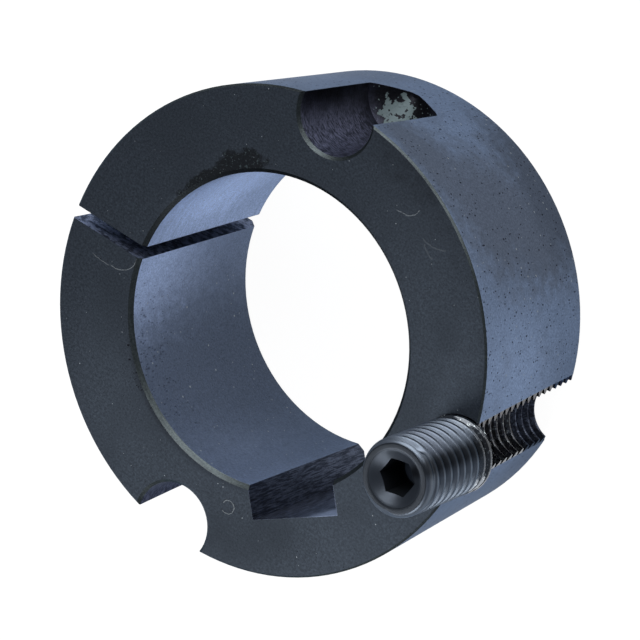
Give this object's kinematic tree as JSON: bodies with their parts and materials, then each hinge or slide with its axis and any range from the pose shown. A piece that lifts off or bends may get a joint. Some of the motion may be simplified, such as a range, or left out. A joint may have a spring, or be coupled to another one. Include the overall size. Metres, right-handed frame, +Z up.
{
  "type": "split taper bushing",
  "caption": "Tapered ring, sawn through one wall, with a keyway and half-holes on its rim, and a socket screw in the threaded one. It clamps a hub on a shaft.",
  "frame": {"origin": "the bore's axis in the plane of the small end, on which the bushing stands", "axes": "+Z up along the bore's axis, from the small end to the large face; +X from the axis to the threaded half-hole, so the saw cut is at -X"},
  "size_m": [0.0738, 0.0696, 0.0488],
  "materials": {
    "blackened_iron": "fine machined and blackened, lightly oiled, satin",
    "blackened_steel": "blackened, oiled, glossy"
  },
  "bodies": {
    "bush": {"split_bush": "blackened_iron"},
    "screw": {"grub_screw": "blackened_steel"}
  },
  "joints": [
    {"name": "screw_feed", "type": "slide", "parent": "bush", "child": "screw", "axis": [0, 0, 1], "range_m": [-0.02903, 0.00181]}
  ]
}
